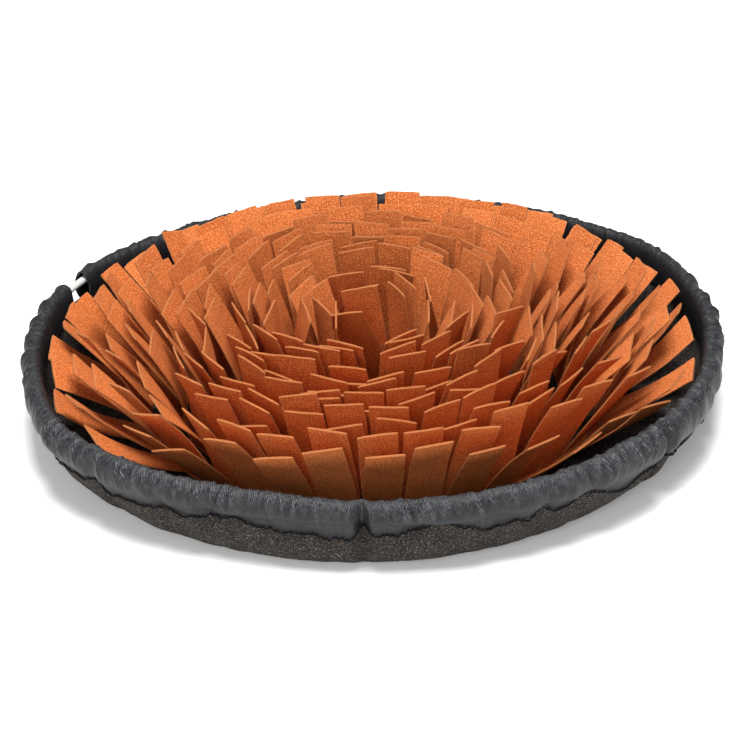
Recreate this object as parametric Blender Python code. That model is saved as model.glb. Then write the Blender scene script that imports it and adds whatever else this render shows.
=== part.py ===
"""Round snuffle mat, drawn up into a shallow bowl.

A disc of grey needle felt lies flat and turns up at its edge into a fluted wall. A gathered
nylon casing sits over the wall's top edge, open for a short way where its white elastic
drawcord shows. Six rings of terracotta felt strips stand on the floor. Each strip is sewn
down across its middle, so that its two ends stand up as tongues.

Metres, +Z up. The origin is the middle of the flat underside. Azimuth 0 is +X, and +Y is 90.
"""
import math
import random

import bmesh
import bpy
import numpy as np
from mathutils import Vector

# --- driving sizes -------------------------------------------------------------------
FELT = 0.0030  # base felt
GAP = 0.0003  # between pieces that touch
FLOOR_RADIUS = 0.1865  # where the floor turns up into the wall
WALL_REACH = 0.0242  # from the floor's edge out to the wall's top
WALL_HEIGHT = 0.0350
WALL_TURNS = [math.radians(a) for a in (0, 22, 42, 60, 76, 90)]  # round the wall's quarter ellipse
RIDGE_RADIUS = 0.2112  # the casing's top ridge

STRIP_WIDTH = 0.0228
STRIP_THICK = 0.0015
TONGUE = 0.0740  # from the seam to the cut end
BAND_WIDTH = 0.0050  # the sewn middles of a ring's strips
BAND_THICK = 0.0016
BAND_FOOT = FELT + GAP
ROOT_ROOM = 0.0013  # between two neighbours' roots
COLUMN_ROOM = 0.0007  # from a root's edge to the middle of the gap beside it

BASE_STEPS = 120
CASING_STEP = math.radians(2.5)
TONGUE_SEGMENTS = 3
PROBE_STEPS = 4  # places measured along each segment

# The casing's opening, where the drawcord shows
OPENING_AT = math.radians(154.0)
OPENING_HALF = math.radians(2.9)
CORD_RADIUS = 0.0024
CORD_TUCK = math.radians(2.6)  # how far each end runs on inside the casing
CORD_TOP = 0.0475  # under the casing's lining
CORD_OUT = 0.0003  # from under the ridge
CORD_STEPS = 12

# Unevenness round the mat: waves round the whole edge, height in metres, phase in radians
RIM_SHAKE = (
    (1, 0.0006, 0.7),
    (2, 0.0013, 1.9),
    (3, 0.0014, -2.1),
    (4, 0.0021, -1.2),
    (5, 0.0011, 0.9),
    (6, 0.0016, -2.0),
    (14, 0.0005, 1.1),
)
RIDGE_SHAKE = ((1, 0.0011, 0.8), (2, 0.0021, 1.75), (3, 0.0014, 2.9), (13, 0.0005, 0.2))
FLOOR_SHAKE = ((1, 0.0007, -3.0), (2, 0.0018, -1.1), (3, 0.0011, 1.2), (4, 0.0015, 0.6))
HEM_SHAKE = ((11, 0.0011, 0.7), (19, 0.0010, 2.9), (26, 0.0008, 4.4))
FLUTES = ((17, 0.0008, 0.9), (23, 0.0011, 4.1), (31, 0.0012, 2.2))

# The casing's cloth between its hems, from the inner one over the ridge to the outer one:
# out from the ridge, height, share of the ridge's unevenness, share of the gathers
CASING_SKIN = (
    (-0.0070, 0.0400, 0.5, 0.5),
    (-0.0050, 0.0487, 1.0, 1.0),
    (-0.0003, 0.0526, 1.0, 1.0),
    (0.0044, 0.0500, 1.0, 1.0),
    (0.0072, 0.0440, 0.7, 0.8),
    (0.0075, 0.0375, 0.4, 0.4),
    (0.0054, 0.0325, 0.0, 0.0),
)
CASING_LINING = (
    (0.0058, 0.0378, 0.4, 0.0),
    (0.0030, 0.0488, 1.0, 0.0),
    (-0.0033, 0.0477, 1.0, 0.0),
)
INNER_HEM, OUTER_HEM = 0.0330, 0.0284  # heights
HEM_ROOM = 0.0008  # from the wall
HEM_CLOTH = 0.0014
GATHER = 0.0010  # how far each gather stands out from the next trough

# Rings of strips: root radius, strips, azimuth of the first, seed for the strips' unevenness
RINGS = (
    {"radius": 0.026, "strips": 7, "first": 90.0, "seed": 1},
    {"radius": 0.052, "strips": 14, "first": 80.0, "seed": 1},
    {"radius": 0.075, "strips": 20, "first": 93.0, "seed": 2},
    {"radius": 0.097, "strips": 26, "first": 88.0, "seed": 4},
    {"radius": 0.119, "strips": 32, "first": 95.0, "seed": 1},
    {"radius": 0.141, "strips": 38, "first": 91.0, "seed": 1},
)
# Outward lean of each ring's inner and outer tongues, in degrees, at the front, sides and back,
# the sideways comb towards the front, which shows most at the sides, and how far neighbours
# lean apart, so that their edges can overlap
LEAN = (
    {"inner": (30, 2, -28), "outer": (33, 8, -15), "comb": 14, "apart": 4},
    {"inner": (25, 0, -21), "outer": (29, 6, -11), "comb": 12, "apart": 4},
    {"inner": (22, 6, -6), "outer": (28, 18, -2), "comb": 9, "apart": 3.5},
    {"inner": (21, 10, -8), "outer": (28, 25, 6), "comb": 7, "apart": 3},
    {"inner": (20, 20, -1), "outer": (28, 34, 20), "comb": 4, "apart": 2.5},
    {"inner": (27, 35, 15), "outer": (34, 60, 38), "comb": 3, "apart": 2.5},
)
# Tongues round the middle that keep their own lean, slant and twist, in degrees
OWN_WAY = (
    {"ring": 0, "site": 0, "side": "inner", "lean": -28, "slant": 15, "twist": 2},
    {"ring": 0, "site": 0, "side": "outer", "lean": -14, "slant": 6, "twist": -2},
    {"ring": 0, "site": 6, "side": "inner", "lean": -7, "slant": -6, "twist": 12},
    {"ring": 0, "site": 6, "side": "outer", "lean": -1, "slant": -2, "twist": 6},
    {"ring": 0, "site": 1, "side": "inner", "lean": 8, "slant": 11, "twist": 10},
    {"ring": 0, "site": 1, "side": "outer", "lean": 14, "slant": 11, "twist": 6},
    {"ring": 1, "site": 0, "side": "inner", "lean": -12, "slant": -10, "twist": 10},
    {"ring": 1, "site": 1, "side": "inner", "lean": -24, "slant": 0, "twist": 0},
    {"ring": 1, "site": 1, "side": "outer", "lean": -15, "slant": 5, "twist": 4},
    {"ring": 1, "site": 2, "side": "inner", "lean": 3, "slant": 9, "twist": -8},
    {"ring": 1, "site": 2, "side": "outer", "lean": 9, "slant": 3, "twist": 8},
    {"ring": 1, "site": 3, "side": "inner", "lean": 10, "slant": 8, "twist": -14},
    {"ring": 1, "site": 13, "side": "inner", "lean": 7, "slant": -10, "twist": -2},
)
# How far a tongue may stray from its ring's rule, in degrees, and in metres for its length
STRAY = {"lean": 7.0, "slant": 9.0, "twist": 28.0, "curl": 9.0, "length": 0.0025}
CALM = 0.45  # share of the stray at the front and back, where the sides have all of it
TRIES = 150
CALM_STEPS, MOST_CALM = 10, 0.75  # each try in ten strays less, down to a quarter
BEND = 0.4  # how much less a tongue leans at its root, and more at its end
SLANT_AT_ROOT, SLANT_GROWS = 0.4, 1.2  # shares of the slant
ROOM = 0.0019  # between the middles of two tongues that face each other
EDGE_ROOM = 0.0008
REACH = 0.7  # shares of a measured step that count as beside it
MIDDLE = 4  # the measured place near a tongue's middle
NEARBY = 0.06  # tongues whose middles are further apart than this can't meet
CASING_ROOM = 0.0016
WIDEN_FROM, WIDEN_TO = 0.12, 0.40  # shares of the length over which a root widens

COLOURS = {
    "base_felt": (0.095, 0.083, 0.075, 1.0),
    "rim_casing": (0.068, 0.070, 0.075, 1.0),
    "drawcord": (0.72, 0.71, 0.69, 1.0),
    "strips": (0.48, 0.135, 0.030, 1.0),
}


def polar(radius, azimuth, height):
    return Vector((radius * math.cos(azimuth), radius * math.sin(azimuth), height))


def uneven(waves, azimuth):
    return sum(high * math.sin(count * azimuth + phase) for count, high, phase in waves)


def material(name, roughness):
    made = bpy.data.materials.get(name)
    if made is None:
        made = bpy.data.materials.new(name)
        made.use_nodes = True
        shader = made.node_tree.nodes["Principled BSDF"]
        shader.inputs["Base Color"].default_value = COLOURS[name]
        shader.inputs["Roughness"].default_value = roughness
        shader.inputs["Metallic"].default_value = 0.0
    return made


def add_object(name, bm, finish, smooth_below):
    bmesh.ops.recalc_face_normals(bm, faces=bm.faces)
    mesh = bpy.data.meshes.new(name)
    bm.to_mesh(mesh)
    bm.free()
    mesh.shade_smooth()
    mesh.set_sharp_from_angle(angle=math.radians(smooth_below))
    mesh.materials.append(finish)
    made = bpy.data.objects.new(name, mesh)
    bpy.context.collection.objects.link(made)
    return made


def ring_of_points(bm, points):
    return [bm.verts.new(point) for point in points]


def join_rings(bm, first, second, closed):
    """Faces between two rows of as many points."""
    count = len(first)
    for k in range(count if closed else count - 1):
        after = (k + 1) % count
        bm.faces.new((first[k], first[after], second[after], second[k]))


# --- base ------------------------------------------------------------------------------
def wall_place(azimuth, turn, thick):
    """Radius and height on the wall's outside, or at a thickness of felt inside it."""
    rise = 1 - math.cos(turn)
    radius = FLOOR_RADIUS + (WALL_REACH - thick) * math.sin(turn)
    radius += rise * uneven(RIM_SHAKE, azimuth) + (1 - rise) * uneven(FLOOR_SHAKE, azimuth)
    radius += math.sin(2 * turn) ** 2 * math.sin(turn) * uneven(FLUTES, azimuth)
    return radius, thick + (WALL_HEIGHT - thick) * rise


def wall_radius(azimuth, height, thick):
    turn = math.acos(1 - (height - thick) / (WALL_HEIGHT - thick))
    return wall_place(azimuth, turn, thick)[0]


def build_base():
    bm = bmesh.new()
    around = [2 * math.pi * k / BASE_STEPS for k in range(BASE_STEPS)]
    levels = [(turn, 0) for turn in WALL_TURNS] + [(turn, FELT) for turn in WALL_TURNS[::-1]]
    rings = []
    for turn, thick in levels:
        places = [wall_place(azimuth, turn, thick) for azimuth in around]
        points = [polar(radius, azimuth, height)
                  for azimuth, (radius, height) in zip(around, places)]
        rings.append(ring_of_points(bm, points))
    for first, second in zip(rings, rings[1:]):
        join_rings(bm, first, second, closed=True)
    bm.faces.new(rings[0])
    bm.faces.new(rings[-1])
    return add_object("base_felt", bm, material("base_felt", 0.95), 50)


# --- casing and drawcord -----------------------------------------------------------------
def casing_point(place, azimuth, gather):
    out, height, ridge_share, gather_share = place
    radius = RIDGE_RADIUS + out + uneven(RIM_SHAKE, azimuth)
    height += ridge_share * uneven(RIDGE_SHAKE, azimuth)
    away = math.copysign(gather * gather_share, out)
    return polar(radius + away, azimuth, height + 0.5 * gather * gather_share)


def hem_points(azimuth, height, thick, away):
    """The casing's two faces at a hem, beside the wall's outside or inside."""
    beside = wall_radius(azimuth, height, thick) + away * HEM_ROOM
    return polar(beside, azimuth, height), polar(beside + away * HEM_CLOTH, azimuth, height)


def build_casing():
    bm = bmesh.new()
    start = OPENING_AT + OPENING_HALF
    reach = 2 * math.pi - 2 * OPENING_HALF
    count = round(reach / CASING_STEP)
    sections = []
    for k in range(count + 1):
        azimuth = start + reach * k / count
        gather = GATHER * (0.5 if k % 2 else -0.5)
        outer_hem = OUTER_HEM + uneven(HEM_SHAKE, azimuth)
        inner = hem_points(azimuth, INNER_HEM, FELT, -1)
        outer = hem_points(azimuth, outer_hem, 0, 1)
        skin = [casing_point(place, azimuth, gather) for place in CASING_SKIN]
        lining = [casing_point(place, azimuth, gather) for place in CASING_LINING]
        points = [inner[1], *skin, outer[1], outer[0], *lining, inner[0]]
        sections.append(ring_of_points(bm, points))
    for first, second in zip(sections, sections[1:]):
        join_rings(bm, first, second, closed=True)
    bm.faces.new(sections[0])
    bm.faces.new(sections[-1])
    return add_object("rim_casing", bm, material("rim_casing", 0.6), 60)


def build_drawcord():
    """Only the length that shows and its ends just inside the casing's mouths."""
    reach = OPENING_HALF + CORD_TUCK
    curve = bpy.data.curves.new("drawcord", "CURVE")
    curve.dimensions = "3D"
    curve.bevel_depth = CORD_RADIUS
    curve.bevel_resolution = 2
    curve.use_fill_caps = True
    spline = curve.splines.new("POLY")
    spline.points.add(CORD_STEPS)
    for k, point in enumerate(spline.points):
        azimuth = OPENING_AT - reach + 2 * reach * k / CORD_STEPS
        height = CORD_TOP + uneven(RIDGE_SHAKE, azimuth) - CORD_RADIUS
        radius = RIDGE_RADIUS + CORD_OUT + uneven(RIM_SHAKE, azimuth)
        point.co = (*polar(radius, azimuth, height), 1.0)
    curve.materials.append(material("drawcord", 0.8))
    made = bpy.data.objects.new("drawcord", curve)
    bpy.context.collection.objects.link(made)
    return made


# --- strips --------------------------------------------------------------------------------
def blend_round(values, azimuth):
    """A value that is front at azimuth -90, sides at 0 and 180, and back at 90."""
    front, sides, back = values
    across = math.cos(azimuth) ** 2
    end = back if math.sin(azimuth) > 0 else front
    return sides * across + end * (1 - across)


def tongue_shape(ring, lean_row, side, site, share, draw):
    """The numbers that shape one tongue; draw() gives even random numbers from -1 to 1."""
    azimuth = math.radians(ring["first"]) + 2 * math.pi * site / ring["strips"]
    sign = 1 if side == "outer" else -1
    radius = ring["radius"] + sign * (BAND_WIDTH / 2 - STRIP_THICK / 2)
    wild = share * (CALM + (1 - CALM) * math.cos(azimuth) ** 2)
    stray = {name: wild * most * draw() for name, most in STRAY.items()}
    apart = lean_row["apart"] * (1 if site % 2 else -1)
    lean = blend_round(lean_row[side], azimuth) + apart + stray["lean"]
    slant = stray["slant"] - lean_row["comb"] * math.cos(azimuth)
    pitch = 2 * radius * math.sin(math.pi / ring["strips"])
    return {
        "azimuth": azimuth,
        "radius": radius,
        "root_width": min(STRIP_WIDTH, pitch - ROOT_ROOM),
        "lean": math.radians(lean),
        "slant": math.radians(slant),
        "twist": math.radians(stray["twist"]),
        "curl": math.radians(stray["curl"]),
        "length": TONGUE + stray["length"],
    }


def own_shape(own):
    ring = RINGS[own["ring"]]
    shape = tongue_shape(ring, LEAN[own["ring"]], own["side"], own["site"], 0, lambda: 0)
    shape.update({name: math.radians(own[name]) for name in ("lean", "slant", "twist")})
    return shape


def frame_at(shape, share):
    """Directions along, across and through a tongue at a share of its length."""
    out = polar(1, shape["azimuth"], 0)
    side = Vector((-out.y, out.x, 0))
    bend = BEND * math.cos(2 * shape["lean"])
    lean = shape["lean"] * (1 + bend * (2 * share - 1)) + shape["curl"] * share * share
    slant = shape["slant"] * min(1.0, SLANT_AT_ROOT + SLANT_GROWS * share)
    along = math.cos(slant) * (math.sin(lean) * out + Vector((0, 0, math.cos(lean))))
    along += math.sin(slant) * side
    across = (side - side.dot(along) * along).normalized()
    through = across.cross(along)
    twist = shape["twist"] * share
    turned = math.cos(twist) * across + math.sin(twist) * through
    return along, turned, turned.cross(along)


def width_at(shape, share):
    rise = min(1.0, max(0.0, (share - WIDEN_FROM) / (WIDEN_TO - WIDEN_FROM)))
    return shape["root_width"] + (STRIP_WIDTH - shape["root_width"]) * rise


def tongue_sections(shape):
    """The middle, across and through of a tongue at its root and after each segment."""
    centre = polar(shape["radius"], shape["azimuth"], BAND_FOOT + BAND_THICK)
    out = polar(1, shape["azimuth"], 0)
    sections = [(centre, Vector((-out.y, out.x, 0)) * shape["root_width"] / 2, -out)]
    for k in range(TONGUE_SEGMENTS):
        along, _, _ = frame_at(shape, (k + 0.5) / TONGUE_SEGMENTS)
        centre = centre + shape["length"] / TONGUE_SEGMENTS * along
        share = (k + 1) / TONGUE_SEGMENTS
        _, across, through = frame_at(shape, share)
        sections.append((centre, across * width_at(shape, share) / 2, through))
    return sections


def corners(section):
    """A section's four corners, in the order of the band's face under it."""
    centre, wide, through = section
    thick = through * STRIP_THICK / 2
    return [centre - wide - thick, centre + wide - thick,
            centre + wide + thick, centre - wide + thick]


def probe(shape):
    """A tongue as arrays, for measuring how near another one comes."""
    sections = [np.array([tuple(part) for part in section])
                for section in tongue_sections(shape)]
    places, along = [], []
    for first, second in zip(sections, sections[1:]):
        for k in range(PROBE_STEPS):
            share = (k + 0.5) / PROBE_STEPS
            places.append(first + share * (second - first))
            along.append(second[0] - first[0])
    centre, wide, _ = np.array(places).transpose(1, 0, 2)
    along = np.array(along) / np.linalg.norm(along, axis=1)[:, None]
    half = np.linalg.norm(wide, axis=1)
    across = wide / half[:, None]
    across -= (across * along).sum(1)[:, None] * along
    across /= np.linalg.norm(across, axis=1)[:, None]
    rows = np.concatenate([centre, sections[-1][None, 0]])
    wides = np.concatenate([wide, sections[-1][None, 1]])
    spread = np.linspace(-1, 1, 5)[None, :, None]
    points = rows[:, None] + spread * wides[:, None]
    return {"centre": centre, "along": along, "across": across,
            "through": np.cross(across, along), "half": half,
            "points": points.reshape(-1, 3),
            "step": shape["length"] / TONGUE_SEGMENTS / PROBE_STEPS}


def faces_clear(points, other):
    """Do these points all lie to one side of another tongue, with room to spare?"""
    away = points[:, None] - other["centre"]
    sideways = np.abs((away * other["across"]).sum(2))
    lengthways = np.abs((away * other["along"]).sum(2))
    deep = (away * other["through"]).sum(2)
    over = (sideways < other["half"] + EDGE_ROOM) & (lengthways < REACH * other["step"])
    deep = deep[over]
    return deep.size == 0 or deep.min() > ROOM or deep.max() < -ROOM


def tongues_clear(one, other):
    return faces_clear(one["points"], other) and faces_clear(other["points"], one)


def casing_clear(tongue):
    """Is a tongue inside the casing wherever it is as high as the wall?"""
    x, y, height = tongue["points"].T
    inner = RIDGE_RADIUS + CASING_SKIN[0][0] - CASING_ROOM
    inner = inner + np.array([uneven(RIM_SHAKE, turn) for turn in np.arctan2(y, x)])
    slope = np.clip((WALL_HEIGHT - height) / WALL_HEIGHT, 0, 1)
    return bool((np.hypot(x, y) < inner - WALL_REACH * slope**2).all())


def has_room(made, probes):
    middle = made["centre"][MIDDLE]
    near = [p for p in probes if np.linalg.norm(p["centre"][MIDDLE] - middle) < NEARBY]
    return casing_clear(made) and all(tongues_clear(made, p) for p in near)


def settle_ring(number, owned, probes):
    """A ring's tongues: each strays from the ring's rule as far as those before it allow."""
    ring, lean_row = RINGS[number], LEAN[number]
    rng = random.Random(ring["seed"])
    shapes = []
    for site in range(ring["strips"]):
        for side in ("inner", "outer"):
            shape = owned.get((number, site, side))
            attempt = 0
            while shape is None:
                calm = MOST_CALM * (attempt % CALM_STEPS) / CALM_STEPS
                share = (1 - calm) * (1 + attempt / TRIES)
                trial = tongue_shape(ring, lean_row, side, site, share,
                                     lambda: rng.uniform(-1, 1))
                made = probe(trial)
                attempt += 1
                if has_room(made, probes) or attempt == TRIES:
                    probes.append(made)
                    shape = trial
            shapes.append(shape)
    return shapes


def settle_tongues():
    owned = {(own["ring"], own["site"], own["side"]): own_shape(own) for own in OWN_WAY}
    probes = [probe(shape) for shape in owned.values()]
    return [settle_ring(number, owned, probes) for number in range(len(RINGS))]


def grow(bm, root, sections):
    """A tongue's faces from its root's four corners to its cut end. Its two wide sides are
    split along the same diagonal, so that a twisted tongue keeps its thickness."""
    below = root
    for section in sections:
        above = ring_of_points(bm, corners(section))
        for a, b, c, d in ((0, 1, 1, 0), (3, 2, 2, 3)):
            bm.faces.new((below[a], below[b], above[c]))
            bm.faces.new((below[a], above[c], above[d]))
        for a, b in ((1, 2), (3, 0)):
            bm.faces.new((below[a], below[b], above[b], above[a]))
        below = above
    bm.faces.new(below)


def build_ring(number, ring, shapes):
    bm = bmesh.new()
    half = BAND_WIDTH / 2
    rails = (-half, STRIP_THICK - half, half - STRIP_THICK, half)
    foot, top = BAND_FOOT, BAND_FOOT + BAND_THICK
    pitch = 2 * math.pi / ring["strips"]
    root = pitch / 2 - COLUMN_ROOM / ring["radius"]
    columns = []
    for shape in shapes[::2]:
        for turn in (shape["azimuth"] - root, shape["azimuth"] + root):
            radii = [(ring["radius"] + rail) / math.cos(root) for rail in rails]
            points = [polar(radius, turn, top) for radius in radii]
            points += [polar(radii[-1], turn, foot), polar(radii[0], turn, foot)]
            columns.append(ring_of_points(bm, points))
    for k, first in enumerate(columns):
        second = columns[(k + 1) % len(columns)]
        for m, begin in enumerate(first):
            n = (m + 1) % len(first)
            if k % 2 == 0 and m in (0, 2):
                root = (begin, second[m], second[n], first[n])
                grow(bm, root, tongue_sections(shapes[k + m // 2])[1:])
            else:
                bm.faces.new((begin, second[m], second[n], first[n]))
    return add_object(f"strip_row_{number}", bm, material("strips", 0.95), 30)


def main():
    for old in list(bpy.data.objects):
        bpy.data.objects.remove(old)
    build_base()
    build_casing()
    build_drawcord()
    for number, (ring, shapes) in enumerate(zip(RINGS, settle_tongues()), start=1):
        build_ring(number, ring, shapes)


main()
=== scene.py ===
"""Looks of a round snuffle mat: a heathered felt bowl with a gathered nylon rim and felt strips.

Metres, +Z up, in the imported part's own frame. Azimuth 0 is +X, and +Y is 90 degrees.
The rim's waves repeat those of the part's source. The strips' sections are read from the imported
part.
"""
import math
import random

import bpy
import numpy as np
from mathutils import Matrix, Vector


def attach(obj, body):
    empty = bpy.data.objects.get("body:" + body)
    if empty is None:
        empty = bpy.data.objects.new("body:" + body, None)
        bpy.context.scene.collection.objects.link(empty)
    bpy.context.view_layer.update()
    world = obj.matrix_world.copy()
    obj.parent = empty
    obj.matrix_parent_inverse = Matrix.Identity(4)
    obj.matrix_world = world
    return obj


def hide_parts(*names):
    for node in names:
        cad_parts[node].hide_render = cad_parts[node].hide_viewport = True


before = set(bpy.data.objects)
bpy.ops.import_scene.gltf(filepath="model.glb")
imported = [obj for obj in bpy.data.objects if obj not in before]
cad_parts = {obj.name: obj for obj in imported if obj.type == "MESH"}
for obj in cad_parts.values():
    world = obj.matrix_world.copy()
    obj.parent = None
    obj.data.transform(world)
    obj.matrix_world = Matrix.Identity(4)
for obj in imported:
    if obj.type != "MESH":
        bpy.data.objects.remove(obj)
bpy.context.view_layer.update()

# --- sizes shared with the solids -------------------------------------------------------
FELT = 0.0030
FLOOR_RADIUS = 0.1865
WALL_REACH = 0.0242
WALL_HEIGHT = 0.0350
RIDGE_RADIUS = 0.2112
OPENING_AT = math.radians(154.0)
OPENING_HALF = math.radians(2.9)
CORD_RADIUS = 0.0024
CORD_TUCK = math.radians(2.6)
GAP = 0.0003
BAND_THICK = 0.0016
BAND_TOP = FELT + GAP + BAND_THICK
ABOVE_BAND = BAND_TOP + 0.0001  # a point higher than this belongs to a tongue
HALF_STRIP = 0.0114
CASING_START = OPENING_AT + OPENING_HALF
CASING_END = CASING_START + 2 * math.pi - 2 * OPENING_HALF
INNER_HEM = 0.0330
HEM_ROOM = 0.0008
HEM_CLOTH = 0.0014

# Waves round the edge: count, height in metres, phase in radians
RIM_SHAKE = (
    (1, 0.0006, 0.7),
    (2, 0.0013, 1.9),
    (3, 0.0014, -2.1),
    (4, 0.0021, -1.2),
    (5, 0.0011, 0.9),
    (6, 0.0016, -2.0),
    (14, 0.0005, 1.1),
)
RIDGE_SHAKE = ((1, 0.0011, 0.8), (2, 0.0021, 1.75), (3, 0.0014, 2.9), (13, 0.0005, 0.2))
FLOOR_SHAKE = ((1, 0.0007, -3.0), (2, 0.0018, -1.1), (3, 0.0011, 1.2), (4, 0.0015, 0.6))
FLUTES = ((17, 0.0008, 0.9), (23, 0.0011, 4.1), (31, 0.0012, 2.2))

# --- sizes of the finer pieces ------------------------------------------------------------
OUTER_HEM = 0.0268  # before its scallops
STRIP_THICK = 0.0012
STRIP_ROWS = 6

# The casing's cloth between its hems, from the inner one over the ridge to the outer one:
# out from the ridge, height, share of the ridge's unevenness, share of a pinch's depth
CASING_SKIN = (
    (-0.0070, 0.0400, 0.5, 0.0),
    (-0.0050, 0.0487, 1.0, 0.0),
    (-0.0003, 0.0526, 1.0, 0.2),
    (0.0044, 0.0500, 1.0, 0.6),
    (0.0072, 0.0440, 0.7, 0.9),
    (0.0075, 0.0375, 0.4, 1.0),
    (0.0054, 0.0325, 0.0, 1.0),
)

# --- how finely the pieces are made -------------------------------------------------------
CASING_STEPS = 2400
CASING_ACROSS = 26
LINING_EVERY = 5  # the lining has one row of points for this many of the skin's
BASE_STEPS = 960
FLOOR_SHARES = (0.02, 0.3, 0.6, 0.85, 0.97)  # of the way out to the floor's edge
WALL_TURNS = np.radians(np.linspace(0, 90, 31))
THREAD_STEPS, THREAD_SIDES = 2200, 6
CORD_STEPS, CORD_SIDES = 90, 24
TONGUE_ALONG = 24
ACROSS = (-1.0, -0.94, -0.62, -0.2, 0.2, 0.62, 0.94, 1.0)  # shares of a tongue's half width
LAST_STEP = 0.988  # share of a tongue's length where its cut end begins

# Where the outer hem is drawn up or hangs: azimuth and half width in degrees, height
SCALLOPS = (
    (8.0, 2.6, 0.0034), (17.0, 2.0, -0.0020), (27.0, 3.0, 0.0042), (41.0, 2.4, 0.0026),
    (52.0, 2.2, -0.0022), (63.0, 3.2, 0.0038), (79.0, 2.6, 0.0044), (91.0, 2.4, -0.0018),
    (104.0, 3.4, 0.0036), (121.0, 2.8, 0.0046), (134.0, 2.2, -0.0020), (146.0, 2.4, 0.0030),
    (166.0, 3.0, 0.0040), (181.0, 2.6, 0.0036), (194.0, 2.4, -0.0022), (206.0, 2.8, 0.0044),
    (220.0, 2.4, 0.0028), (224.6, 1.4, -0.0022), (234.8, 1.5, 0.0028), (246.0, 4.2, 0.0040),
    (263.5, 2.2, -0.0030), (267.6, 1.1, 0.0026), (279.3, 3.8, 0.0066), (287.0, 2.0, -0.0030),
    (296.0, 1.4, 0.0036), (303.4, 2.8, 0.0054), (311.6, 2.4, -0.0052), (320.8, 1.2, 0.0026),
    (332.0, 2.8, 0.0038), (345.0, 2.4, -0.0024), (356.0, 2.6, 0.0032),
)

# Pinches where the casing's seam draws the felt in: azimuth and half width in degrees, depth
PINCHES = (
    (267.6, 0.95, 0.0066), (288.0, 1.9, 0.0026), (296.0, 1.0, 0.0020), (276.0, 1.4, 0.0014),
    (243.0, 1.3, 0.0020), (234.5, 0.9, 0.0020), (221.0, 1.2, 0.0024), (304.0, 1.5, 0.0020),
    (320.8, 1.0, 0.0060), (340.0, 1.4, 0.0020), (206.0, 1.5, 0.0024), (181.0, 1.3, 0.0026),
    (12.0, 1.3, 0.0024), (30.0, 1.5, 0.0020), (48.0, 1.2, 0.0024), (79.0, 1.5, 0.0024),
    (96.0, 1.3, 0.0020), (121.0, 1.4, 0.0026), (146.0, 1.2, 0.0020), (168.0, 1.4, 0.0024),
)

PINCH_SWELL, SWELL_AT = 0.2, 2.2  # the cloth beside a pinch stands out by this share of it

DENTS = (37, 53, 71, 97)  # counts of the felt wall's small waves
DENT_HIGH = 0.00022
DENT_DRIFT = 2.2

# Gathers of the casing: ranges in metres, and drift as the most slope to either side
FINE_FOLDS = {
    "seed": 3, "pitch": (0.0026, 0.0056), "wide": (0.0006, 0.0012), "high": (0.0004, 0.0013),
    "reach_out": (0.006, 0.020), "reach_in": (0.003, 0.010), "drift": 0.40,
}
BILLOWS = {
    "seed": 5, "pitch": (0.010, 0.024), "wide": (0.0030, 0.0056), "high": (0.0008, 0.0026),
    "reach_out": (0.024, 0.040), "reach_in": (0.008, 0.014), "drift": 0.45,
}
VEES = {
    "seed": 4, "pitch": (0.006, 0.015), "deep": (0.011, 0.027), "slope": (0.10, 0.34),
    "wide": (0.0009, 0.0016), "high": (0.0011, 0.0029), "reach_in": (0.005, 0.011),
}
VEE_OVERRUN = 1.12  # how far a pair runs on past its point, as a share of its depth
CREASE_SHARP, BILLOW_SHARP = 1.3, 2.0
SECTION_RUN = 0.03  # metres along the cloth over which a fold's drift carries it
FOLD_WIDE, FOLD_NARROWS = 1.3, 0.9  # shares of a fold's width, at the ridge and lost at its end
SKIN_SUNK = 0.0012  # so that the folds lie about the solid's face
HEM_FADE = 0.004  # metres over which the folds die away at a hem
OUTER_HEM_LEFT = 0.0012  # folds still stand a little at the outer hem
CREST_HIGH = 0.0018  # a crease this high counts as a full crest

# Where a painted highlight shows the nylon's twill catching the light: how far down from the
# ridge, in metres
HIGHLIGHT_SHORT, HIGHLIGHT_LONG = (0.006, 0.012), (0.012, 0.022)
HIGHLIGHT_PITCH = (0.0018, 0.0046)

# The dark thread along the outer hem
THREAD_RADIUS = 0.00055
THREAD_CLEAR = 0.004  # radians kept free at each end
LOOP_PITCH, KNOT_PITCH = 0.0034, 0.0017

CORD_TOP = 0.0478
BRAID_PITCH = 0.0006

# How far a tongue may differ from its solid, in metres
CUP, SWAY, SKEW, RAGGED = 0.0005, 0.0004, 0.0011, 0.00010
CORNER_ROUND = 0.0005
SIDE_BULGE = 0.0002
SKEW_FROM = 0.7  # share of the length from which the cut end is skewed

COLOURS = {
    "strip": (0.54, 0.122, 0.023, 1.0),
    "strip_dark": (0.35, 0.064, 0.009, 1.0),
    "strip_light": (0.84, 0.300, 0.105, 1.0),
    # Paler cut edges: real fuzz and a painted highlight
    "strip_edge_fuzz_and_highlight": (0.72, 0.27, 0.10, 1.0),
    "felt_dark": (0.005, 0.0043, 0.0038, 1.0),
    "felt_mid": (0.016, 0.013, 0.011, 1.0),
    "felt_light": (0.31, 0.26, 0.22, 1.0),
    "nylon_dark": (0.006, 0.0062, 0.0075, 1.0),
    "nylon": (0.0125, 0.0129, 0.0155, 1.0),
    # The colour of the nylon's painted twill highlight
    "nylon_painted_highlight": (0.145, 0.148, 0.157, 1.0),
    "thread": (0.004, 0.004, 0.0045, 1.0),
    "elastic": (0.60, 0.595, 0.58, 1.0),
    # Painted shade between the elastic's strands
    "elastic_gap_shade": (0.42, 0.415, 0.40, 1.0),
    "floor": (0.92, 0.92, 0.92, 1.0),
}


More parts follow.
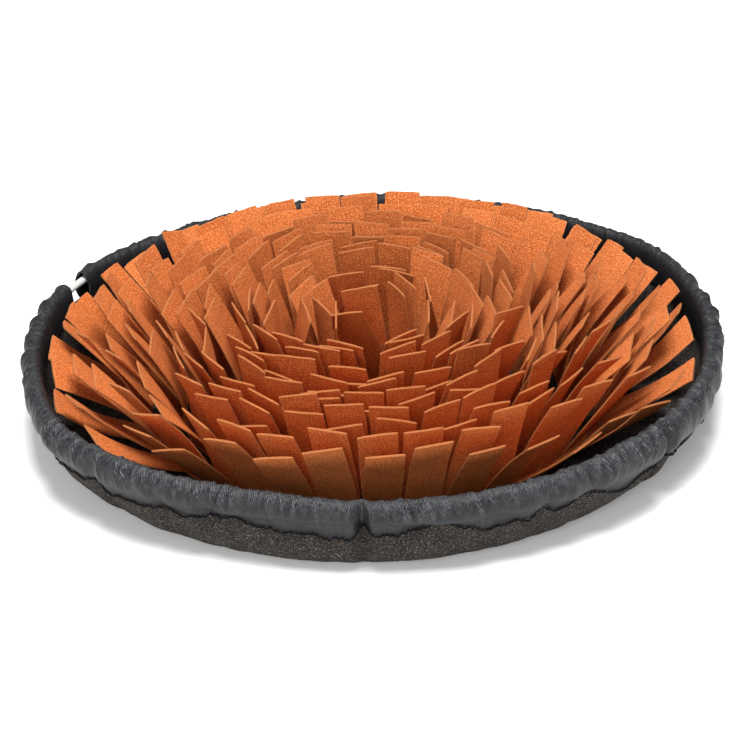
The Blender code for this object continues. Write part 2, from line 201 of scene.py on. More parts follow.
# --- meshes -------------------------------------------------------------------------------
def mesh_object(name, points, faces, finish, cloth=None, marks=None, sharp_over=70):
    """A smooth mesh. For its material, cloth gives each point's place on the flat cloth, and
    marks three more numbers, which differ from piece to piece."""
    mesh = bpy.data.meshes.new(name)
    mesh.from_pydata(np.asarray(points).tolist(), [], faces)
    mesh.shade_smooth()
    mesh.set_sharp_from_angle(angle=math.radians(sharp_over))
    if cloth is not None:
        layer = mesh.attributes.new("cloth", "FLOAT_VECTOR", "POINT")
        layer.data.foreach_set("vector", np.asarray(cloth, np.float32).ravel())
    if marks is not None:
        layer = mesh.attributes.new("marks", "FLOAT_VECTOR", "POINT")
        layer.data.foreach_set("vector", np.asarray(marks, np.float32).ravel())
    mesh.materials.append(finish)
    made = bpy.data.objects.new(name, mesh)
    bpy.context.scene.collection.objects.link(made)
    return made


def tube_faces(rings, sides):
    """Quads round a tube whose points are stored ring by ring."""
    ring, side = np.meshgrid(np.arange(rings - 1), np.arange(sides), indexing="ij")
    beside = (side + 1) % sides
    quads = np.stack([ring * sides + side, ring * sides + beside,
                      (ring + 1) * sides + beside, (ring + 1) * sides + side], -1)
    return quads.reshape(-1, 4).tolist()


def closed_tube(rings, sides):
    """The same, with a face over each end."""
    last = (rings - 1) * sides
    return [*tube_faces(rings, sides), list(range(sides))[::-1],
            list(range(last, last + sides))]


def smooth_at(points, shares):
    """Points on a smooth curve through the given ones, at shares of the way along it."""
    points = np.asarray(points, float)
    ends = np.concatenate([2 * points[:1] - points[1:2], points, 2 * points[-1:] - points[-2:-1]])
    along = np.asarray(shares) * (len(points) - 1)
    first = np.minimum(along.astype(int), len(points) - 2)
    t = (along - first).reshape(-1, *[1] * (points.ndim - 1))
    a, b, c, d = (ends[first + k] for k in range(4))
    return 0.5 * (2 * b + (c - a) * t + (2 * a - 5 * b + 4 * c - d) * t**2
                  + (3 * b - a - 3 * c + d) * t**3)


def uneven(waves, azimuth):
    """The sum of some waves round the edge."""
    return sum(high * np.sin(count * azimuth + phase) for count, high, phase in waves)


def to_points(radius, azimuth, height):
    """Points from a radius, an azimuth and a height, each a number or an array."""
    return np.stack([radius * np.cos(azimuth), radius * np.sin(azimuth),
                     height + 0 * azimuth], -1)


def turn_apart(azimuth, centre):
    """How far an azimuth lies past another, in radians, the short way round."""
    return (azimuth - centre + math.pi) % (2 * math.pi) - math.pi


# --- base ----------------------------------------------------------------------------------
def wall_place(azimuth, turn, thick):
    """Radius and height on the wall, turned up from the floor, thick inside its outer face."""
    rise = 1 - math.cos(turn)
    radius = FLOOR_RADIUS + (WALL_REACH - thick) * math.sin(turn)
    radius = radius + rise * uneven(RIM_SHAKE, azimuth) + (1 - rise) * uneven(FLOOR_SHAKE, azimuth)
    radius = radius + math.sin(2 * turn) ** 2 * math.sin(turn) * uneven(FLUTES, azimuth)
    return radius, thick + (WALL_HEIGHT - thick) * rise


def hem_height(azimuth):
    """Height of the casing's scalloped outer hem."""
    height = OUTER_HEM + 0 * azimuth
    for centre, half, lift in SCALLOPS:
        away = turn_apart(azimuth, math.radians(centre)) / math.radians(half)
        height = height + lift * np.exp(-away**2)
    return height + 0.0005 * np.sin(67 * azimuth + 1.3) + 0.0004 * np.sin(104 * azimuth)


def pinch(azimuth):
    """How deep the pinches draw the wall and the casing in."""
    deep = 0 * azimuth
    for centre, half, depth in PINCHES:
        away = turn_apart(azimuth, math.radians(centre)) / math.radians(half)
        beside = np.exp(-((np.abs(away) - SWELL_AT) ** 2))
        deep = deep + depth * (np.exp(-away**2) - PINCH_SWELL * beside)
    return deep


def dimples(azimuth, turn, seed):
    """Small soft dents in the felt wall."""
    rng = random.Random(seed)
    dents = 0 * azimuth
    for count in DENTS:
        phase = rng.uniform(0, 2 * math.pi)
        drift = DENT_DRIFT * turn * rng.uniform(-1, 1)
        dents = dents + DENT_HIGH * np.sin(count * azimuth + phase + drift)
    return dents


def build_base():
    """The felt bowl: its underside, its wall outside and inside, and its floor."""
    azimuth = np.linspace(0, 2 * math.pi, BASE_STEPS, endpoint=False)
    rings = []
    floor_edge = FLOOR_RADIUS + uneven(FLOOR_SHAKE, azimuth)
    for share in FLOOR_SHARES:
        rings.append(to_points(share * floor_edge, azimuth, 0.0))
    for turn in WALL_TURNS:
        radius, height = wall_place(azimuth, turn, 0)
        swell = math.sin(turn) ** 0.5 if turn > 0 else 0
        reach = math.sin(turn) ** 2
        sunk = (0.4 * math.sin(turn) + 0.6 * reach) * pinch(azimuth)
        radius = radius - sunk + swell * (1 - reach) * dimples(azimuth, turn, 5)
        rings.append(to_points(radius, azimuth, height))
    for turn in WALL_TURNS[::-1]:
        radius, height = wall_place(azimuth, turn, FELT)
        radius = radius - math.sin(turn) ** 2 * pinch(azimuth)
        rings.append(to_points(radius, azimuth, height))
    for share in FLOOR_SHARES[::-1]:
        rings.append(to_points(share * floor_edge, azimuth, FELT))
    points = np.concatenate(rings)
    faces = closed_tube(len(rings), BASE_STEPS)
    base = mesh_object("felt_bowl", points, faces, heather_felt())
    base.data.flip_normals()
    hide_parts("base_felt")
    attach(base, "root")
    return base


# --- casing ----------------------------------------------------------------------------------
def make_folds(seed, pitch, wide, high, reach_out, reach_in, drift):
    """Gathers all round the casing, each a dictionary of its place and its own measures."""
    rng = random.Random(seed)
    folds = []
    at = CASING_START
    while at < CASING_END:
        folds.append({
            "at": at,
            "wide": rng.uniform(*wide),
            "high": rng.uniform(*high),
            "out": rng.uniform(*reach_out),
            "in": rng.uniform(*reach_in),
            "drift": rng.uniform(-drift, drift),
        })
        at += rng.uniform(*pitch) / RIDGE_RADIUS
    return folds


def make_vees(seed, pitch, deep, slope, wide, high, reach_in):
    """Pairs of gathers that run down from the ridge and meet in a point."""
    rng = random.Random(seed)
    folds = []
    at = CASING_START
    while at < CASING_END:
        depth, lean = rng.uniform(*deep), rng.uniform(*slope)
        own_wide, own_high = rng.uniform(*wide), rng.uniform(*high)
        for side in (-1, 1):
            folds.append({
                "at": at - side * lean * depth / RIDGE_RADIUS,
                "wide": own_wide,
                "high": own_high,
                "out": VEE_OVERRUN * depth,
                "in": rng.uniform(*reach_in),
                "drift": side * lean,
            })
        at += rng.uniform(*pitch) / RIDGE_RADIUS
    return folds


def painted_highlight_depth(azimuth, seed):
    """How far down from the ridge the painted twill highlight reaches: an uneven zigzag."""
    rng = random.Random(seed)
    at, places, depths = -math.pi, [], []
    while at < 3 * math.pi:
        places.append(at)
        depths.append(rng.uniform(*(HIGHLIGHT_SHORT if len(places) % 2 else HIGHLIGHT_LONG)))
        at += rng.uniform(*HIGHLIGHT_PITCH) / RIDGE_RADIUS
    return np.interp(azimuth, places, depths)


def lay_folds(azimuth, along, folds, sharp):
    """How far the folds stand out at each azimuth and place along the section."""
    out = np.zeros((len(azimuth), len(along)))
    for fold in folds:
        reach = (abs(fold["drift"]) * SECTION_RUN + 4 * fold["wide"]) / RIDGE_RADIUS
        near = np.flatnonzero(np.abs(azimuth - fold["at"]) < reach)
        if near.size:
            away = (azimuth[near, None] - fold["at"]) * RIDGE_RADIUS - fold["drift"] * along[None]
            limit = np.where(along > 0, fold["out"], fold["in"])
            fade = np.clip(1 - np.abs(along) / limit, 0, 1)
            fade = fade * fade * (3 - 2 * fade)
            run = np.clip(np.abs(along) / limit, 0, 1)
            narrow = fold["wide"] * (FOLD_WIDE - FOLD_NARROWS * run)
            out[near] += fold["high"] * fade * np.exp(-np.abs(away / narrow) ** sharp)
    return out


def casing_profile(azimuth):
    """The casing's outer face at each azimuth, as (radius, height) pairs across the section,
    its outward directions there, and how far each place lies along the cloth from the ridge."""
    rim, ridge = uneven(RIM_SHAKE, azimuth), uneven(RIDGE_SHAKE, azimuth)
    hem = hem_height(azimuth)
    inner_turn = math.acos(1 - (INNER_HEM - FELT) / (WALL_HEIGHT - FELT))
    inner = wall_place(azimuth, inner_turn, FELT)[0] - HEM_ROOM - HEM_CLOTH
    rows = [np.stack([inner, INNER_HEM + 0 * azimuth], -1)]
    for out, height, share, pinched in CASING_SKIN:
        radius = RIDGE_RADIUS + out + rim - pinched * pinch(azimuth)
        rows.append(np.stack([radius, height + share * ridge], -1))
    hem_turn = np.arccos(1 - hem / WALL_HEIGHT)
    wall = FLOOR_RADIUS + WALL_REACH * np.sin(hem_turn)
    rise = 1 - np.cos(hem_turn)
    wall += rise * rim + (1 - rise) * uneven(FLOOR_SHAKE, azimuth)
    wall += np.sin(2 * hem_turn) ** 2 * np.sin(hem_turn) * uneven(FLUTES, azimuth)
    wall -= np.sin(hem_turn) ** 2 * pinch(azimuth)
    rows.append(np.stack([wall + HEM_ROOM + HEM_CLOTH, hem], -1))
    section = smooth_at(rows, np.linspace(0, 1, CASING_ACROSS)).transpose(1, 0, 2)
    tangent = np.gradient(section, axis=1)
    tangent /= np.linalg.norm(tangent, axis=2, keepdims=True)
    outward = np.stack([-tangent[..., 1], tangent[..., 0]], -1)
    outward *= np.sign(outward[:, CASING_ACROSS // 2, 1])[:, None, None]
    middle = section.mean(0)
    step = np.linalg.norm(np.diff(middle, axis=0), axis=1)
    along = np.concatenate([[0], np.cumsum(step)])
    along -= along[middle[:, 1].argmax()]
    return section, outward, along


def build_casing():
    """The gathered casing: its folded skin, and a plain lining under it."""
    azimuth = np.linspace(CASING_START, CASING_END, CASING_STEPS)
    section, outward, along = casing_profile(azimuth)
    creased = (lay_folds(azimuth, along, make_folds(**FINE_FOLDS), CREASE_SHARP)
               + lay_folds(azimuth, along, make_vees(**VEES), CREASE_SHARP))
    # The folds are lower right on the ridge
    calm = 0.25 + 0.75 * np.clip((np.abs(along) - 0.001) / 0.007, 0, 1)
    creased *= calm
    proud = creased + calm * lay_folds(azimuth, along, make_folds(**BILLOWS), BILLOW_SHARP)
    proud -= SKIN_SUNK
    to_hem = np.minimum(along - along[0], along[-1] - along + OUTER_HEM_LEFT)
    edge = np.clip(to_hem / HEM_FADE, 0, 1)
    skin = section + outward * (proud * edge)[..., None]
    lining = section[:, ::LINING_EVERY] - outward[:, ::LINING_EVERY] * HEM_CLOTH
    loop = np.concatenate([skin, lining[:, ::-1]], axis=1)
    points = to_points(loop[..., 0], azimuth[:, None], loop[..., 1])
    faces = closed_tube(CASING_STEPS, loop.shape[1])
    run = np.concatenate([along, along[::LINING_EVERY][::-1]])
    arc = (azimuth - CASING_START) * RIDGE_RADIUS
    cloth = np.stack(np.broadcast_arrays(arc[:, None], run[None], 0.0), -1)
    crest = np.concatenate([creased, 0 * lining[..., 0]], axis=1) / CREST_HIGH
    reach = painted_highlight_depth(azimuth, 8)[:, None]
    # The painted twill highlight is strongest at the front, and lies only on the ridge and below
    # it outside
    front_highlight = 0.25 + 0.75 * np.clip(0.45 - 1.2 * np.sin(azimuth), 0, 1)[:, None]
    highlight_zone = front_highlight * np.clip((reach - run[None]) / 0.0020, 0, 1)
    highlight_zone = highlight_zone * np.clip((run[None] + 0.010) / 0.004, 0, 1)
    # Marks for the nylon: crest height, and where its painted twill highlight lies
    marks = np.stack(np.broadcast_arrays(crest, highlight_zone, 0.0), -1)
    casing = mesh_object("gathered_casing", points.reshape(-1, 3), faces, nylon(),
                         cloth=cloth.reshape(-1, 3), marks=marks.reshape(-1, 3))
    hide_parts("rim_casing")
    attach(casing, "root")
    return casing


def build_hem_stitches():
    """The dark thread that runs along the casing's outer hem, looping over its edge."""
    azimuth = np.linspace(CASING_START + THREAD_CLEAR, CASING_END - THREAD_CLEAR, THREAD_STEPS)
    section, outward, _ = casing_profile(azimuth)
    hem = section[:, -1] - 0.0001 * outward[:, -1]
    arc = (azimuth - CASING_START) * RIDGE_RADIUS
    swing = np.sin(2 * math.pi * arc / LOOP_PITCH + 2.2 * np.sin(arc / 0.0029))
    swing = swing * (0.55 + 0.45 * np.sin(arc / 0.0061)) + 0.5 * np.sin(arc / 0.0023)
    centre = hem + np.stack([0.0004 + 0 * swing, 0.0007 * swing - 0.0005], -1)
    centre[:, 0] += 0.0003 * np.sin(2 * math.pi * arc / KNOT_PITCH)
    around = np.linspace(0, 2 * math.pi, THREAD_SIDES, endpoint=False)
    ring_r = centre[:, :1] + THREAD_RADIUS * np.cos(around)
    ring_z = centre[:, 1:] + THREAD_RADIUS * np.sin(around)
    points = to_points(ring_r, azimuth[:, None], ring_z)
    faces = closed_tube(THREAD_STEPS, THREAD_SIDES)
    stitches = mesh_object("hem_stitching", points.reshape(-1, 3), faces, plain_thread())
    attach(stitches, "root")
    return stitches


def build_drawcord():
    """The braided elastic across the casing's opening."""
    reach = OPENING_HALF + CORD_TUCK
    azimuth = OPENING_AT + np.linspace(-reach, reach, CORD_STEPS)
    height = CORD_TOP + uneven(RIDGE_SHAKE, azimuth) - CORD_RADIUS - GAP
    radius = RIDGE_RADIUS + GAP + uneven(RIM_SHAKE, azimuth)
    around = np.linspace(0, 2 * math.pi, CORD_SIDES, endpoint=False)
    arc = (azimuth - azimuth[0]) * RIDGE_RADIUS
    one = np.sin(4 * around[None] + arc[:, None] / BRAID_PITCH)
    other = np.sin(4 * around[None] - arc[:, None] / BRAID_PITCH)
    thick = CORD_RADIUS * (0.93 + 0.06 * np.maximum(one, other))
    points = to_points(radius[:, None] + thick * np.cos(around), azimuth[:, None],
                       height[:, None] + thick * np.sin(around))
    faces = closed_tube(CORD_STEPS, CORD_SIDES)
    braid = np.stack(np.broadcast_arrays(np.maximum(one, other), 0.0, 0.0), -1)
    cord = mesh_object("white_elastic", points.reshape(-1, 3), faces, elastic(), marks=braid)
    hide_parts("drawcord")
    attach(cord, "root")


# --- strips --------------------------------------------------------------------------------
def merged(node):
    """A node's points with doubles merged, and its triangles."""
    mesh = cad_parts[node].data
    mesh.calc_loop_triangles()
    points = np.array([tuple(v.co) for v in mesh.vertices])
    keys = {}
    index = np.array([keys.setdefault(tuple(np.round(p * 5e4).astype(int)), len(keys))
                      for p in points])
    kept = np.zeros((len(keys), 3))
    kept[index] = points
    triangles = index[np.array([tuple(t.vertices) for t in mesh.loop_triangles])]
    return kept, triangles


def split_tongues(points, triangles):
    """Groups of points, one for each tongue, with the four at its root last in each."""
    high = points[:, 2] > ABOVE_BAND
    group = np.arange(len(points))
    edges = np.concatenate([triangles[:, [0, 1]], triangles[:, [1, 2]], triangles[:, [2, 0]]])
    inside = edges[high[edges].all(1)]
    while True:
        low = np.minimum(group[inside[:, 0]], group[inside[:, 1]])
        before = group.copy()
        np.minimum.at(group, inside[:, 0], low)
        np.minimum.at(group, inside[:, 1], low)
        if (group == before).all():
            break
    rooted = edges[high[edges[:, 0]] & ~high[edges[:, 1]]]
    tongues = []
    for number in np.unique(group[high]):
        members = np.flatnonzero((group == number) & high)
        roots = np.unique(rooted[group[rooted[:, 0]] == number][:, 1])
        tongues.append((points[members], points[roots]))
    return tongues


def section_of(corners, was_wide, was_through):
    """Middle, half width across and unit through of four corners, turned as the one before."""
    centre = corners.mean(0)
    apart = corners - corners[0]
    mate = np.linalg.norm(apart, axis=1).argsort()[1]
    others = [k for k in range(4) if k not in (0, mate)]
    one = (corners[0] + corners[mate]) / 2
    two = corners[others].mean(0)
    wide = (two - one) / 2
    through = corners[mate] - corners[0]
    through = through / np.linalg.norm(through)
    if was_wide is not None and wide @ was_wide < 0:
        wide = -wide
    if was_through is not None and through @ was_through < 0:
        through = -through
    return centre, wide, through


def tongue_sections(members, roots):
    """Sections from the root to the cut end: middle, half width across, unit through."""
    foot = roots.mean(0)
    order = np.linalg.norm(members - foot, axis=1).argsort()
    wide, through = None, None
    sections = []
    for corners in (roots, *members[order].reshape(-1, 4, 3)):
        centre, wide, through = section_of(corners, wide, through)
        sections.append((centre, wide, through))
    return np.array(sections)


def tongue_mesh(sections, rng):
    """A fine closed tongue: its points, faces, cloth places and marks (edge, tone, height)."""
    share = np.append(np.linspace(0, LAST_STEP, TONGUE_ALONG), 1.0)
    fine = smooth_at(sections, share)
    centre, wide, through = fine.transpose(1, 0, 2)
    through = through / np.linalg.norm(through, axis=1, keepdims=True)
    length = np.linalg.norm(np.diff(centre, axis=0), axis=1).sum()
    along = (centre[-1] - centre[-2]) / np.linalg.norm(centre[-1] - centre[-2])
    spread = np.array(ACROSS)
    cup, sway = rng.uniform(-CUP, CUP), rng.uniform(-SWAY, SWAY)
    skew = rng.uniform(-SKEW, SKEW)
    ragged = np.array([rng.gauss(0, RAGGED) for _ in share])
    ragged[0] = 0
    widths = 1 + np.outer(ragged, [-1, 1]) / HALF_STRIP
    half = np.where(spread[None] < 0, widths[:, :1], widths[:, 1:])
    face = centre[:, None] + wide[:, None] * (spread * half)[..., None]
    bow = cup * share[:, None] * (1 - spread[None] ** 2) + sway * np.sin(math.pi * share)[:, None]
    face = face + through[:, None] * bow[..., None]
    tip_shift = skew * spread + np.array([rng.gauss(0, RAGGED) for _ in spread])
    tip_shift = tip_shift - CORNER_ROUND * np.abs(spread) ** 9
    late = np.clip((share - SKEW_FROM) / 0.3, 0, 1) ** 2
    face = face + along * (late[:, None] * tip_shift[None])[..., None]
    thick = STRIP_THICK / 2 * (1 - 0.25 * np.abs(spread) ** 6)
    front = face + through[:, None] * thick[None, :, None]
    back = face - through[:, None] * thick[None, :, None]
    side = wide / np.linalg.norm(wide, axis=1, keepdims=True) * SIDE_BULGE
    left, right = face[:, :1] - side[:, None], face[:, -1:] + side[:, None]
    loop = np.concatenate([front, right, back[:, ::-1], left], axis=1)
    count = loop.shape[1]
    faces = tube_faces(TONGUE_ALONG + 1, count)
    last = TONGUE_ALONG * count
    faces.append(list(range(count))[::-1])
    half_loop = len(ACROSS)
    for k in range(half_loop - 1):
        faces.append([last + k, last + k + 1, last + 2 * half_loop - 1 - k,
                      last + 2 * half_loop - k])
    faces.append([last + count - 1, last, last + 2 * half_loop])
    faces.append([last + half_loop - 1, last + half_loop, last + half_loop + 1])
    place = rng.uniform(0, 5), rng.uniform(0, 5)
    u = np.concatenate([spread, [1.02], spread[::-1], [-1.02]]) * HALF_STRIP
    flip = np.concatenate([0 * spread, [0.5], 1 + 0 * spread, [0.5]])
    cloth = np.stack(np.broadcast_arrays(u[None] + place[0], share[:, None] * length + place[1],
                                         flip[None]), -1)
    rim = np.concatenate([0 * spread, [1], 0 * spread, [1]])
    rim[[0, half_loop - 1, half_loop + 1, -2]] = 0.75
    edge = np.broadcast_to(rim, (TONGUE_ALONG + 1, count)).copy()
    edge[-1] = np.maximum(edge[-1], 0.9)
    tone = rng.uniform(-1, 1)
    marks = np.stack(np.broadcast_arrays(edge, tone, share[:, None]), -1)
    return loop.reshape(-1, 3), faces, cloth.reshape(-1, 3), marks.reshape(-1, 3)


def build_strips(number, finish):
    """One ring of strips: the solid's backing, and a finer tongue for each of its own."""
    node = f"strip_row_{number}"
    points, triangles = merged(node)
    rng = random.Random(100 + number)
    low = points[:, 2] < ABOVE_BAND
    backing = triangles[low[triangles].all(1)]
    used = np.unique(backing)
    place = np.full(len(points), -1)
    place[used] = np.arange(len(used))
    band = place[backing]
    all_points = [points[used]]
    faces = band.tolist()
    cloth = [points[used]]
    marks = [np.tile((0.0, 0.0, 0.0), (len(used), 1))]
    start = len(used)
    for members, roots in split_tongues(points, triangles):
        made = tongue_mesh(tongue_sections(members, roots), rng)
        all_points.append(made[0])
        faces += [[k + start for k in face] for face in made[1]]
        cloth.append(made[2])
        marks.append(made[3])
        start += len(made[0])
    piece = mesh_object(f"felt_strips_{number}", np.concatenate(all_points), faces, finish,
                        cloth=np.concatenate(cloth), marks=np.concatenate(marks), sharp_over=35)
    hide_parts(node)
    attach(piece, "root")
    return piece


# --- materials --------------------------------------------------------------------------------
class Finish:
    """A small helper for writing a material's nodes."""

    def __init__(self, name, roughness):
        self.made = bpy.data.materials.new(name)
        self.made.use_nodes = True
        self.tree = self.made.node_tree
        self.shader = self.tree.nodes["Principled BSDF"]
        self.shader.inputs["Roughness"].default_value = roughness

    def node(self, kind, inputs=(), **settings):
        node = self.tree.nodes.new(kind)
        for key, value in settings.items():
            setattr(node, key, value)
        for key, value in dict(inputs).items():
            if isinstance(value, bpy.types.NodeSocket):
                self.tree.links.new(value, node.inputs[key])
            else:
                node.inputs[key].default_value = value
        return node

    def attribute(self, name):
        return self.node("ShaderNodeAttribute", attribute_name=name).outputs["Vector"]

    def part(self, vector, which):
        return self.node("ShaderNodeSeparateXYZ", {0: vector}).outputs[which]

    def stretched(self, vector, scale, turn=(0, 0, 0)):
        turned = self.node("ShaderNodeMapping", {"Vector": vector, "Rotation": turn}).outputs[0]
        return self.node("ShaderNodeMapping", {"Vector": turned, "Scale": scale}).outputs[0]

    def noise(self, vector, scale, detail=3.0, roughness=0.55):
        return self.node("ShaderNodeTexNoise", {"Vector": vector, "Scale": scale,
                                                "Detail": detail,
                                                "Roughness": roughness}).outputs["Fac"]

    def ramp(self, value, low, high):
        return self.node("ShaderNodeMapRange", {"Value": value, "From Min": low,
                                                "From Max": high}).outputs[0]

    def math(self, kind, first, second):
        return self.node("ShaderNodeMath", {0: first, 1: second}, operation=kind).outputs[0]

    def mix(self, share, first, second):
        node = self.node("ShaderNodeMix", data_type="RGBA")
        for key, value in ((0, share), (6, first), (7, second)):
            if isinstance(value, bpy.types.NodeSocket):
                self.tree.links.new(value, node.inputs[key])
            else:
                node.inputs[key].default_value = value
        return node.outputs[2]

    def bump(self, height, strength, distance, normal=None):
        node = self.node("ShaderNodeBump", {"Height": height, "Strength": strength,
                                            "Distance": distance})
        if normal is not None:
            self.tree.links.new(normal, node.inputs["Normal"])
        return node.outputs[0]

    def finish(self, colour=None, normal=None, sheen=0.0, sheen_tint=(1, 1, 1, 1)):
        if colour is not None:
            self.tree.links.new(colour, self.shader.inputs["Base Color"])
        if normal is not None:
            self.tree.links.new(normal, self.shader.inputs["Normal"])
        self.shader.inputs["Sheen Weight"].default_value = sheen
        self.shader.inputs["Sheen Roughness"].default_value = 0.5
        self.shader.inputs["Sheen Tint"].default_value = sheen_tint
        return self.made


def strip_felt():
    """Terracotta felt: mottled pressed fibres, with paler cut edges, partly their real fuzz and
    partly a painted highlight.
    """
    f = Finish("terracotta_felt", 0.95)
    place, marks = f.attribute("cloth"), f.attribute("marks")
    edge, tone = f.part(marks, 0), f.part(marks, 1)
    soft = f.noise(place, 150.0, detail=4.0, roughness=0.65)
    grain = f.noise(place, 1150.0, detail=2.0, roughness=0.7)
    lain = f.stretched(place, (1700, 500, 900), turn=(0, 0, 0.6))
    fibres = f.noise(lain, 1.0, detail=2.0, roughness=0.6)
    coarse = f.math("ADD", soft, f.math("MULTIPLY", grain, 1.4))
    mottled = f.mix(f.ramp(coarse, 0.95, 1.35), COLOURS["strip_dark"], COLOURS["strip"])
    speckle = f.ramp(f.math("ADD", grain, fibres), 0.98, 1.20)
    colour = f.mix(speckle, mottled, COLOURS["strip_light"])
    shade = f.ramp(tone, -1.6, 1.6)
    colour = f.mix(f.math("MULTIPLY", shade, 0.20), colour, COLOURS["strip_light"])
    # Paler cut edges: their real fuzz, with a painted highlight where the edges catch the light
    fuzz_and_highlight = f.math("MULTIPLY", edge, f.ramp(grain, 0.25, 0.6))
    colour = f.mix(fuzz_and_highlight, colour, COLOURS["strip_edge_fuzz_and_highlight"])
    rough = f.bump(f.math("ADD", grain, fibres), strength=0.9, distance=0.0009)
    rough = f.bump(soft, strength=0.3, distance=0.0012, normal=rough)
    f.shader.inputs["Specular IOR Level"].default_value = 0.12
    return f.finish(colour, rough)


# How the heathered felt's layers of fibres are turned, in radians
FIBRE_TURNS = ((1.3, 0.2, 0), (1.8, 0.9, 0), (1.2, -0.8, 0), (1.9, -0.3, 0), (1.5, 1.4, 0),
               (0.8, 0.6, 0), (2.4, -0.5, 0))


def heather_felt():
    """Charcoal-brown needle felt with pale fibres that lie in every direction."""
    f = Finish("heather_felt", 0.92)
    place = f.node("ShaderNodeTexCoord").outputs["Object"]
    bent = f.node("ShaderNodeTexNoise", {"Vector": place, "Scale": 90.0, "Detail": 1.0})
    shift = f.node("ShaderNodeVectorMath", {0: bent.outputs["Color"], 1: (0.005, 0.005, 0.005)},
                   operation="MULTIPLY").outputs[0]
    place = f.node("ShaderNodeVectorMath", {0: place, 1: shift}, operation="ADD").outputs[0]
    fibres = None
    for turn in FIBRE_TURNS:
        lain = f.stretched(place, (1900, 1900, 230), turn)
        strand = f.noise(lain, 1.0, detail=1.0, roughness=0.5)
        fibres = strand if fibres is None else f.math("MAXIMUM", fibres, strand)
    cloud = f.noise(place, 130.0, detail=3.0)
    colour = f.mix(f.ramp(cloud, 0.3, 0.7), COLOURS["felt_dark"], COLOURS["felt_mid"])
    pale = f.ramp(fibres, 0.67, 0.80)
    colour = f.mix(pale, colour, COLOURS["felt_light"])
    rough = f.bump(fibres, strength=1.0, distance=0.0012)
    rough = f.bump(cloud, strength=0.35, distance=0.0016, normal=rough)
    f.shader.inputs["Specular IOR Level"].default_value = 0.25
    return f.finish(colour, rough, sheen=0.02, sheen_tint=(0.9, 0.85, 0.8, 1))


TWILL_PITCH, WARP_PITCH = 0.0014, 0.0012


def nylon():
    """Slate woven nylon, with a painted highlight on its twill that is brightest on the crests of
    its gathers.
    """
    f = Finish("slate_nylon", 0.46)
    place = f.attribute("cloth")
    across, down = f.part(place, 0), f.part(place, 1)
    marks = f.attribute("marks")
    crest, highlight_zone = f.ramp(f.part(marks, 0), 0.0, 0.8), f.part(marks, 1)
    crinkle = f.noise(f.stretched(place, (520, 110, 1)), 1.0, detail=3.0, roughness=0.6)
    fine = f.noise(f.stretched(place, (1300, 380, 1)), 1.0, detail=2.0, roughness=0.6)
    slope = f.math("ADD", across, f.math("MULTIPLY", down, 0.7))
    twill = f.math("SINE", f.math("MULTIPLY", slope, 2 * math.pi / TWILL_PITCH), 0.0)
    warp = f.math("SINE", f.math("MULTIPLY", down, 2 * math.pi / WARP_PITCH), 0.0)
    weave = f.math("MULTIPLY", twill, warp)
    near_top = f.ramp(f.math("ABSOLUTE", down, 0.0), 0.024, 0.006)
    # Painted highlight: the twill's flecks are lit up in their zone, brighter on the crests of the
    # gathers
    highlight_fleck = f.math("MULTIPLY", f.ramp(weave, -0.05, 0.45), highlight_zone)
    highlight_fleck = f.math("MULTIPLY", highlight_fleck, f.ramp(fine, 0.40, 0.56))
    glint = f.math("MULTIPLY", highlight_fleck, f.math("ADD", 0.35, f.math("MULTIPLY", crest, 0.65)))
    colour = f.mix(f.ramp(crinkle, 0.35, 0.7), COLOURS["nylon_dark"], COLOURS["nylon"])
    colour = f.mix(glint, colour, COLOURS["nylon_painted_highlight"])
    bent = f.bump(crinkle, strength=0.5, distance=0.0012)
    puckers = f.math("MULTIPLY", fine, near_top)
    bent = f.bump(puckers, strength=0.7, distance=0.0010, normal=bent)
    bent = f.bump(weave, strength=0.15, distance=0.0002, normal=bent)
    f.shader.inputs["Specular IOR Level"].default_value = 0.3
    return f.finish(colour, bent)


def plain_thread():
    """The hem's dark sewing thread."""
    f = Finish("dark_thread", 0.7)
    place = f.node("ShaderNodeTexCoord").outputs["Object"]
    twist = f.noise(place, 2600.0, detail=1.0)
    colour = f.mix(f.math("MULTIPLY", twist, 0.4), COLOURS["thread"], COLOURS["nylon"])
    f.shader.inputs["Specular IOR Level"].default_value = 0.1
    return f.finish(colour, f.bump(twist, strength=0.4, distance=0.0003))


def elastic():
    """White braided elastic, with painted shade between its strands."""
    f = Finish("white_elastic", 0.75)
    braid = f.part(f.attribute("marks"), 0)
    place = f.node("ShaderNodeTexCoord").outputs["Object"]
    fine = f.noise(place, 3500.0, detail=2.0)
    # Painted shade: darker between the braid's strands
    colour = f.mix(f.ramp(braid, -0.1, 0.7), COLOURS["elastic_gap_shade"], COLOURS["elastic"])
    return f.finish(colour, f.bump(fine, strength=0.3, distance=0.0003), sheen=0.2)


# --- stage, light and camera ----------------------------------------------------------------
FOCAL = 2862.0  # pixels
DISTANCE = 1.8
TILT = math.radians(27.5)
ROLL = math.radians(2.05)
ORIGIN_AT = (374.0, 404.4)  # pixel of the photograph where the part's origin shows
PICTURE = (740, 738)
FLOOR_HALF = 6.0
FLOOR_LOW = -0.0004  # just under the mat
FLOOR_GLOW = 0.14
WORLD_STRENGTH = 0.36
# Each light's place, size and power
LIGHTS = {
    "key": ((0.05, -0.36, 1.55), 0.7, 43),
    "front_fill": ((-0.3, -1.7, 0.8), 0.8, 13),
}


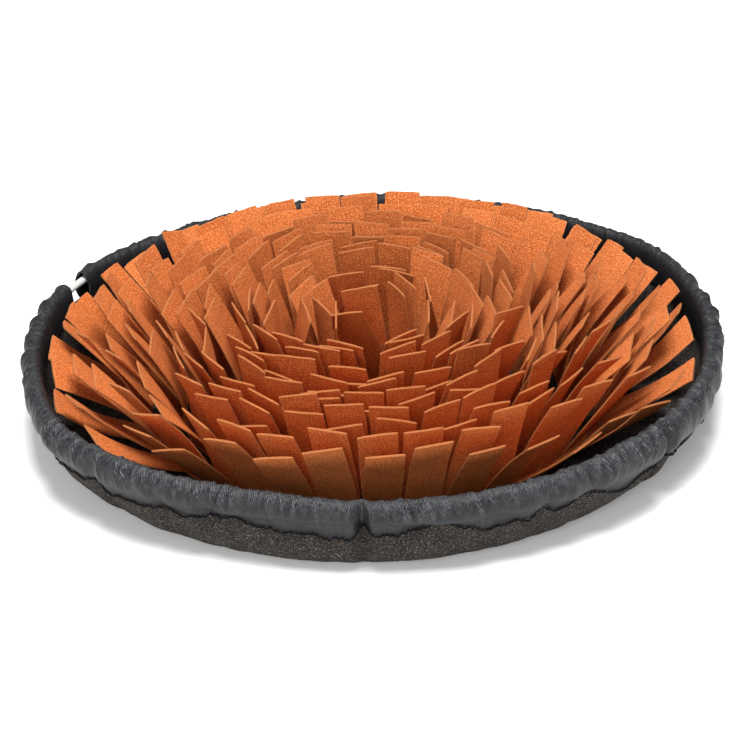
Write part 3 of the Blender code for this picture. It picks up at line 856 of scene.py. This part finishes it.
def build_camera():
    """The photo's camera: its tilt and roll, turned so that the origin shows at its pixel."""
    camera = bpy.data.cameras.new("camera")
    camera.sensor_width = 36
    camera.lens = FOCAL / PICTURE[0] * camera.sensor_width
    made = bpy.data.objects.new("camera", camera)
    bpy.context.scene.collection.objects.link(made)
    forward = Vector((0, math.cos(TILT), -math.sin(TILT)))
    right = Vector((1, 0, 0))
    turned = Matrix((right, right.cross(forward), -forward)).transposed()
    yaw = math.atan((PICTURE[0] / 2 - ORIGIN_AT[0]) / FOCAL)
    pitch = math.atan((ORIGIN_AT[1] - PICTURE[1] / 2) / FOCAL)
    turned = turned @ Matrix.Rotation(-ROLL, 3, "Z")
    turned = turned @ Matrix.Rotation(-yaw, 3, "Y") @ Matrix.Rotation(pitch, 3, "X")
    made.matrix_world = Matrix.Translation(-DISTANCE * forward) @ turned.to_4x4()
    bpy.context.scene.camera = made


def build_light(name, place, size, power):
    """A square lamp that faces the mat."""
    light = bpy.data.lights.new(name, "AREA")
    light.size = size
    light.energy = power
    made = bpy.data.objects.new(name, light)
    made.location = place
    made.rotation_euler = (-Vector(place)).to_track_quat("-Z", "Y").to_euler()
    bpy.context.scene.collection.objects.link(made)


def build_stage():
    """A pale floor, a white surround and two lamps."""
    f = Finish("pale_floor", 0.9)
    f.shader.inputs["Base Color"].default_value = COLOURS["floor"]
    f.shader.inputs["Emission Color"].default_value = (1, 1, 1, 1)
    f.shader.inputs["Emission Strength"].default_value = FLOOR_GLOW
    corners = [(x * FLOOR_HALF, y * FLOOR_HALF, FLOOR_LOW)
               for x, y in ((-1, -1), (1, -1), (1, 1), (-1, 1))]
    floor = mesh_object("floor", corners, [[0, 1, 2, 3]], f.finish())
    world = bpy.data.worlds.new("studio")
    world.use_nodes = True
    background = world.node_tree.nodes["Background"]
    background.inputs["Color"].default_value = (1, 1, 1, 1)
    background.inputs["Strength"].default_value = WORLD_STRENGTH
    bpy.context.scene.world = world
    for name, (place, size, power) in LIGHTS.items():
        build_light(name, place, size, power)
    bpy.context.scene.view_settings.view_transform = "Standard"


def main():
    build_camera()
    build_stage()
    base = build_base()
    casing = build_casing()
    stitches = build_hem_stitches()
    build_drawcord()
    finish = strip_felt()
    strips = [build_strips(number, finish) for number in range(1, STRIP_ROWS + 1)]


main()
